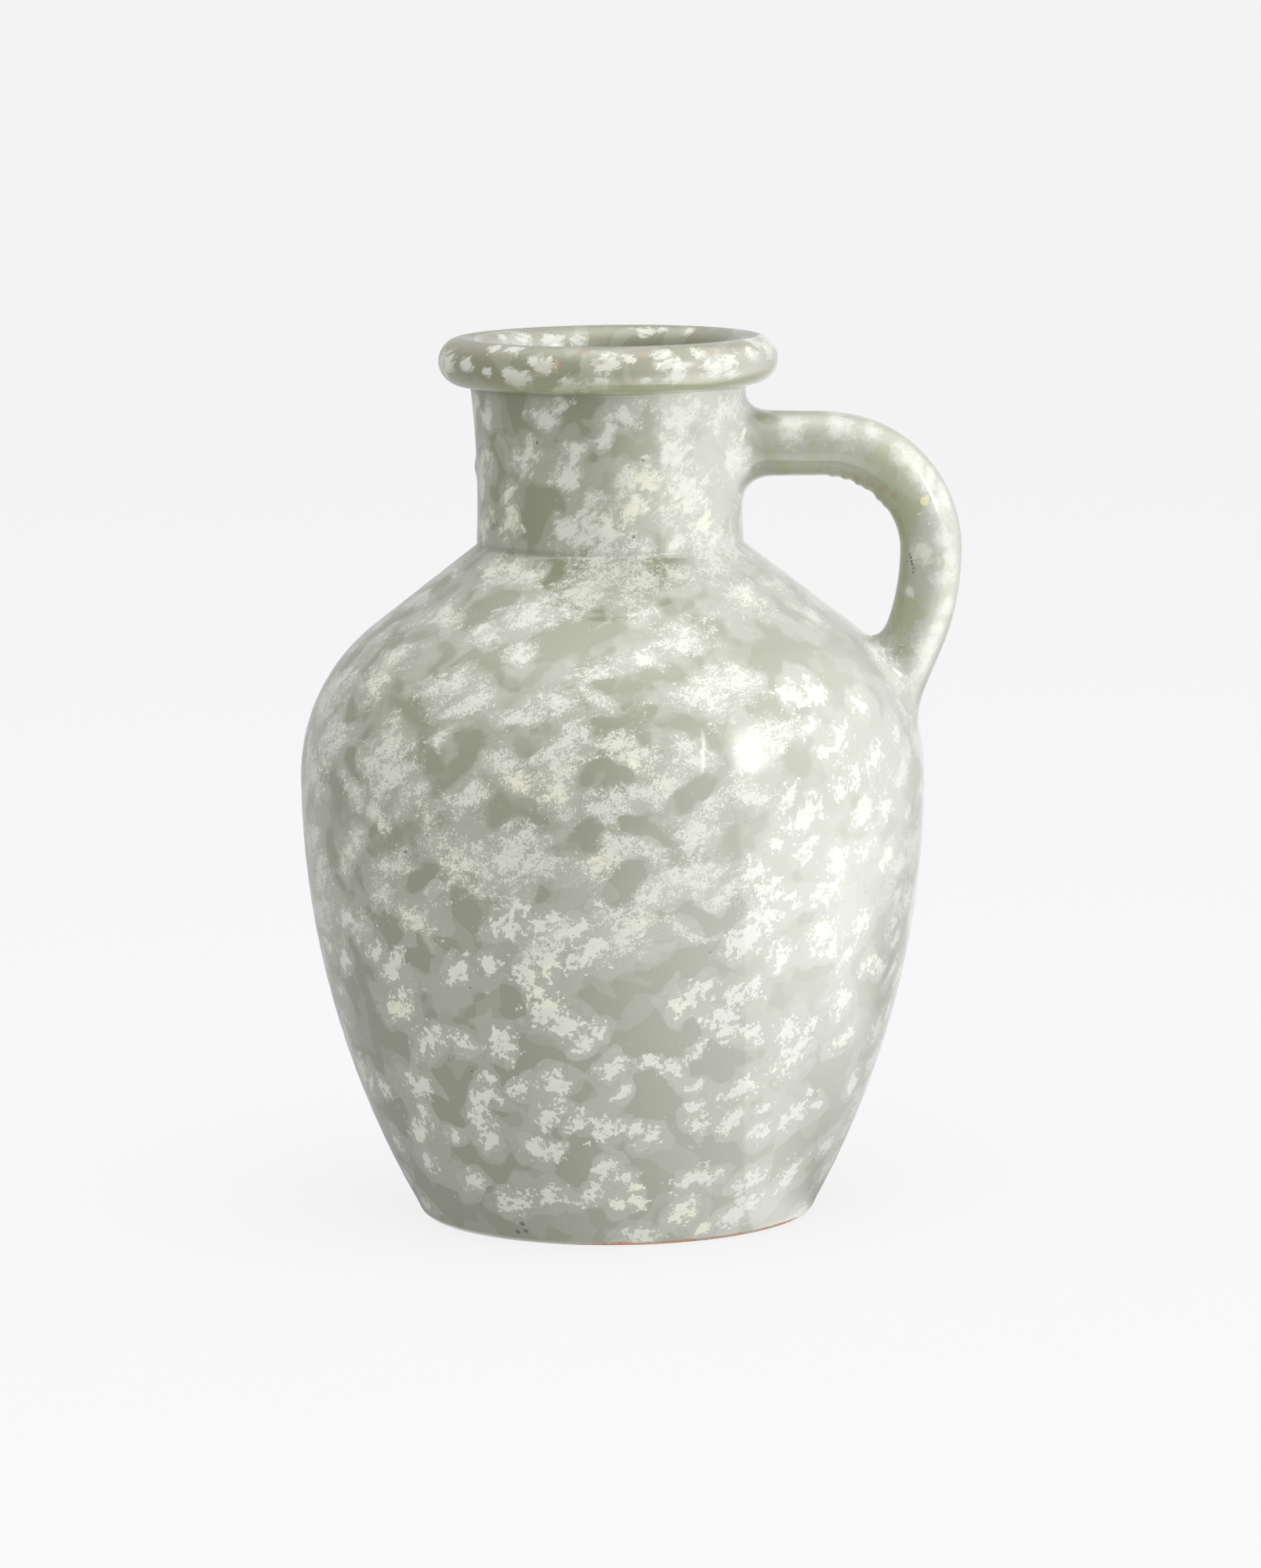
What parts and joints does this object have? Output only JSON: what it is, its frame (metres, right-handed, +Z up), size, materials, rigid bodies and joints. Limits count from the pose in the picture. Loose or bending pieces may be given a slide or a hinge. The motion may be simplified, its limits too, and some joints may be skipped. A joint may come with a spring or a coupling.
{
  "type": "glazed ceramic vase",
  "caption": "Round-bellied glazed vase with a rolled rim, a short neck and a side strap handle; stands on a flat bare foot and holds flowers, branches or water.",
  "frame": {"origin": "middle of the flat underside of the foot", "axes": "+Z up along the vase's axis, +X from the axis towards the handle"},
  "size_m": [0.2333, 0.22, 0.31],
  "materials": {
    "glaze": "gloss grey-green glaze sponged with cream",
    "bare_clay": "bare fired terracotta under the foot"
  },
  "bodies": {
    "root": {"base_slab": "bare_clay", "lower_body": "glaze", "upper_body": "glaze", "neck": "glaze", "rim_roll": "glaze", "upper_lug": "glaze", "handle": "glaze", "lower_lug": "glaze"}
  },
  "joints": []
}
